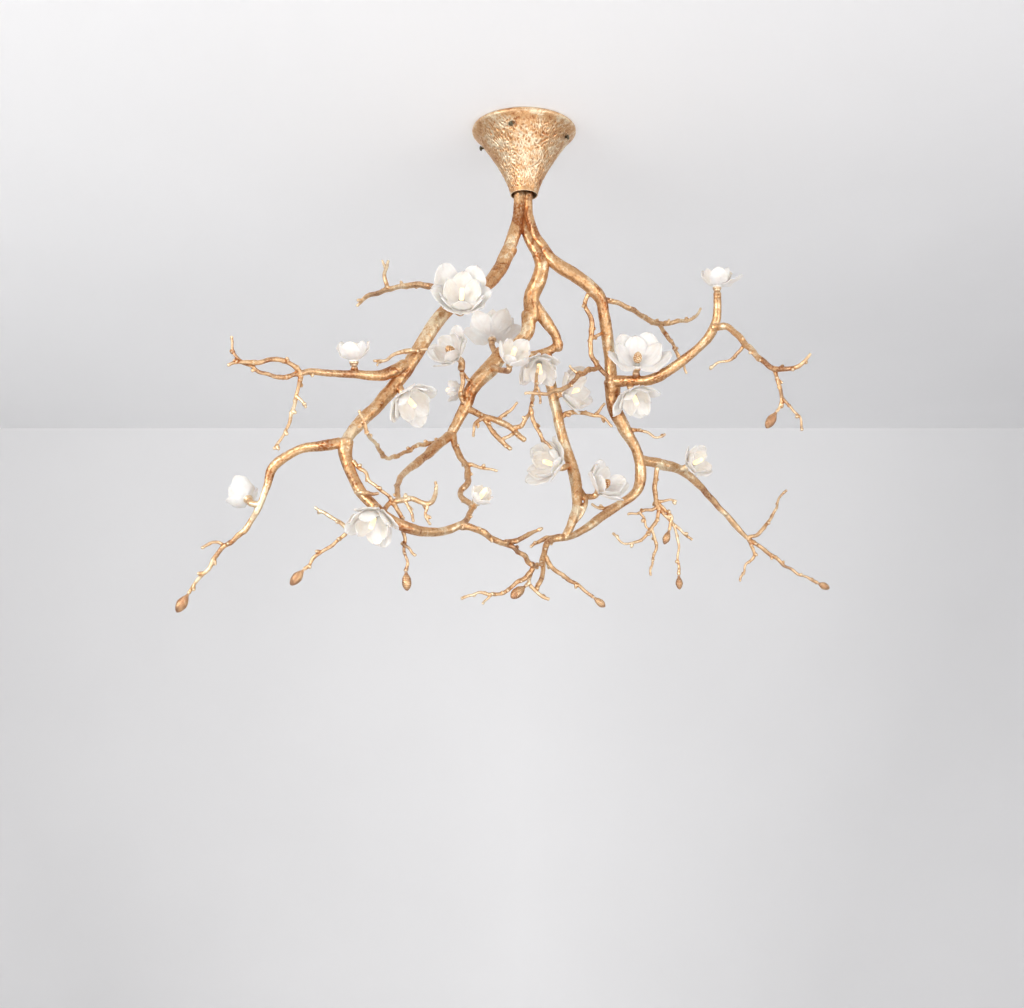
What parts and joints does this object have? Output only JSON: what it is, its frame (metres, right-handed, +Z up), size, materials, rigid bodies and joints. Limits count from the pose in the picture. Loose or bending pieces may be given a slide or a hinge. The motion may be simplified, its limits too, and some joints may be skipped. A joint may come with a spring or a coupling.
{
  "type": "branch chandelier",
  "caption": "Hanging chandelier of gilded cast branches with porcelain magnolia flowers that hold small plug-in lamps, under a flared ceiling canopy.",
  "frame": {"origin": "ceiling plane at the canopy's axis, the centre of the ceiling plate's fixing holes", "axes": "+Z up towards the ceiling, -Y towards the room and the picture's viewer, +X to the right"},
  "size_m": [1.2644, 0.7154, 0.9689],
  "materials": {
    "gilt_branch": "gold leaf over cast metal with a copper-brown undertone, satin, uneven",
    "gilt_canopy": "gold leaf over a bark-textured casting, satin",
    "turned_brass": "turned, satin",
    "zinc_steel": "zinc plated",
    "white_plastic": "moulded, matt",
    "lead_sheath": "white silicone sheath",
    "grey_ceramic": "dark grey heat-proof moulding",
    "lamp_glass": "frosted, warm white",
    "porcelain": "glazed white porcelain, thin and slightly translucent"
  },
  "bodies": {
    "frame": {"ceiling_plate": "zinc_steel", "hanger_tube": "zinc_steel", "hanger_nuts": "turned_brass", "trunk_ferrule": "turned_brass", "driver": "white_plastic", "terminal_block": "white_plastic", "inner_leads": "lead_sheath", "trunk": "gilt_branch", "left_limb": "gilt_branch", "centre_limb": "gilt_branch", "middle_branch": "gilt_branch", "right_limb": "gilt_branch", "right_lower_limb": "gilt_branch", "left_arm": "gilt_branch", "left_arm_twigs": "gilt_branch", "left_limb_twigs": "gilt_branch", "lower_left_arm": "gilt_branch", "left_bud_twig": "gilt_branch", "lower_left_limb": "gilt_branch", "crossing_twigs": "gilt_branch", "zigzag_twig": "gilt_branch", "lower_centre_arm": "gilt_branch", "lower_centre_twigs": "gilt_branch", "centre_left_branch": "gilt_branch", "thin_twig": "gilt_branch", "centre_twigs": "gilt_branch", "centre_lower_limb": "gilt_branch", "centre_lower_twigs": "gilt_branch", "right_arm": "gilt_branch", "right_arm_twigs": "gilt_branch", "upper_right_twig": "gilt_branch", "inner_right_twig": "gilt_branch", "right_lower_arm": "gilt_branch", "right_tip_twigs": "gilt_branch", "lower_right_twigs": "gilt_branch", "leaf_buds": "gilt_branch", "flower_collars": "gilt_branch", "lamp_holders": "grey_ceramic", "capsule_lamps": "lamp_glass", "seed_cones": "gilt_branch", "flower_1": "porcelain", "flower_2": "porcelain", "flower_3": "porcelain", "flower_4": "porcelain", "flower_5": "porcelain", "flower_6": "porcelain", "flower_7": "porcelain", "flower_8": "porcelain", "flower_9": "porcelain", "flower_10": "porcelain", "flower_11": "porcelain", "flower_12": "porcelain", "flower_13": "porcelain", "flower_14": "porcelain", "flower_15": "porcelain", "flower_16": "porcelain", "flower_17": "porcelain", "flower_18": "porcelain"},
    "canopy": {"canopy_shell": "gilt_canopy", "canopy_screws": "turned_brass"}
  },
  "joints": [
    {"name": "canopy_drop", "type": "slide", "parent": "frame", "child": "canopy", "axis": [0, 0, -1], "range_m": [0, 0.045]}
  ]
}
